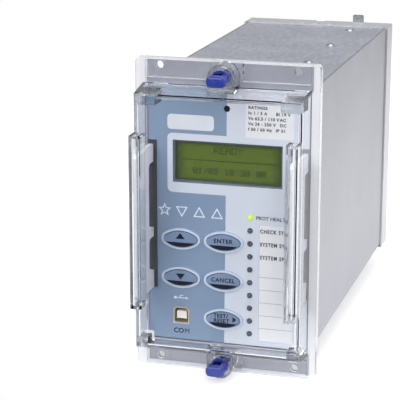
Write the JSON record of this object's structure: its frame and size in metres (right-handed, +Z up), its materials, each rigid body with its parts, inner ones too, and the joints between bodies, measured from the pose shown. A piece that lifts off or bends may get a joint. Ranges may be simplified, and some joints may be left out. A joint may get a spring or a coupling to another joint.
{
  "type": "protection relay",
  "caption": "Panel-mounted protection relay: withdrawable unit with display, keys and lamps in a sheet-steel case, behind a clear cover held by thumb pins.",
  "frame": {"origin": "centre of the four fixing holes, on the panel seat behind the flange", "axes": "+X to the right seen from the front, the front faces -Y, +Z up"},
  "size_m": [0.1036, 0.278, 0.177],
  "materials": {
    "galvanised_sheet": "satin",
    "zinc_plate": "satin",
    "clear_moulding": "clear gloss",
    "terminal_plastic": "matte",
    "screw_steel": "satin",
    "earth_brass": "satin",
    "rail_plastic": "matte",
    "fascia_plastic": "matte",
    "label_film": "matte",
    "lcd_glass": "gloss",
    "lcd_frame": "matte",
    "key_ring": "satin",
    "key_cap": "satin",
    "mat_rubber": "matte",
    "led_green": "gloss",
    "led_dark": "gloss",
    "strip_paper": "matte",
    "usb_steel": "satin",
    "usb_plastic": "matte",
    "handle_plastic": "satin",
    "pad_rubber": "matte",
    "board_green": "satin",
    "core_iron": "matte",
    "output_case": "gloss",
    "capacitor_sleeve": "gloss",
    "connector_plastic": "matte",
    "pin_blue": "gloss"
  },
  "bodies": {
    "case": {"case_shell": "galvanised_sheet", "case_lid": "galvanised_sheet", "rear_panel": "zinc_plate", "mounting_flange": "zinc_plate", "flange_bezel": "clear_moulding", "terminal_block_left": "terminal_plastic", "terminal_block_right": "terminal_plastic", "terminal_screws": "screw_steel", "terminal_block_screws": "screw_steel", "earth_clamp": "zinc_plate", "earth_screw": "earth_brass", "guide_rail_top": "rail_plastic", "guide_rail_bottom": "rail_plastic", "guide_rivets": "screw_steel"},
    "element": {"fascia": "fascia_plastic", "fascia_label": "label_film", "fascia_screw": "screw_steel", "lcd_window": "clear_moulding", "lcd_panel": "lcd_glass", "lcd_module": "lcd_frame", "button_rings": "key_ring", "keypad_mat": "mat_rubber", "status_led": "led_green", "alarm_leds": "led_dark", "led_label_strip": "strip_paper", "usb_shell": "usb_steel", "usb_tongue": "usb_plastic", "handle_left": "handle_plastic", "handle_right": "handle_plastic", "handle_pad_left": "pad_rubber", "handle_pad_right": "pad_rubber", "handle_screws": "screw_steel", "chassis_top_plate": "zinc_plate", "chassis_bottom_plate": "zinc_plate", "chassis_screws": "screw_steel", "front_board": "board_green", "front_board_pillars": "earth_brass", "power_board": "board_green", "signal_board": "board_green", "transformers": "core_iron", "output_relays": "output_case", "capacitors": "capacitor_sleeve", "rear_connector_left": "connector_plastic", "rear_connector_right": "connector_plastic"},
    "button_up": {"button_up": "key_cap"},
    "button_enter": {"button_enter": "key_cap"},
    "button_down": {"button_down": "key_cap"},
    "button_cancel": {"button_cancel": "key_cap"},
    "button_test": {"button_test": "key_cap"},
    "cover": {"cover": "clear_moulding"},
    "pin_top": {"pin_top": "pin_blue", "pin_clip_top": "screw_steel"},
    "pin_bottom": {"pin_bottom": "pin_blue", "pin_clip_bottom": "screw_steel"}
  },
  "joints": [
    {"name": "element_slide", "type": "slide", "parent": "case", "child": "element", "axis": [0, -1, 0], "range_m": [0, 0.23]},
    {"name": "cover_slide", "type": "slide", "parent": "element", "child": "cover", "axis": [0, -1, 0], "range_m": [0, 0.06]},
    {"name": "pin_top_turn", "type": "hinge", "parent": "cover", "child": "pin_top", "pos_m": [0, -0.02, 0.081], "axis": [0, 1, 0], "range_deg": [0, 90]},
    {"name": "pin_bottom_turn", "type": "hinge", "parent": "cover", "child": "pin_bottom", "pos_m": [0, -0.02, -0.081], "axis": [0, 1, 0], "range_deg": [0, 90]},
    {"name": "button_up_press", "type": "slide", "parent": "element", "child": "button_up", "axis": [0, 1, 0], "range_m": [0, 0.001], "stiffness_N_per_m": 1500},
    {"name": "button_enter_press", "type": "slide", "parent": "element", "child": "button_enter", "axis": [0, 1, 0], "range_m": [0, 0.001], "stiffness_N_per_m": 1500},
    {"name": "button_down_press", "type": "slide", "parent": "element", "child": "button_down", "axis": [0, 1, 0], "range_m": [0, 0.001], "stiffness_N_per_m": 1500},
    {"name": "button_cancel_press", "type": "slide", "parent": "element", "child": "button_cancel", "axis": [0, 1, 0], "range_m": [0, 0.001], "stiffness_N_per_m": 1500},
    {"name": "button_test_press", "type": "slide", "parent": "element", "child": "button_test", "axis": [0, 1, 0], "range_m": [0, 0.001], "stiffness_N_per_m": 1500}
  ]
}
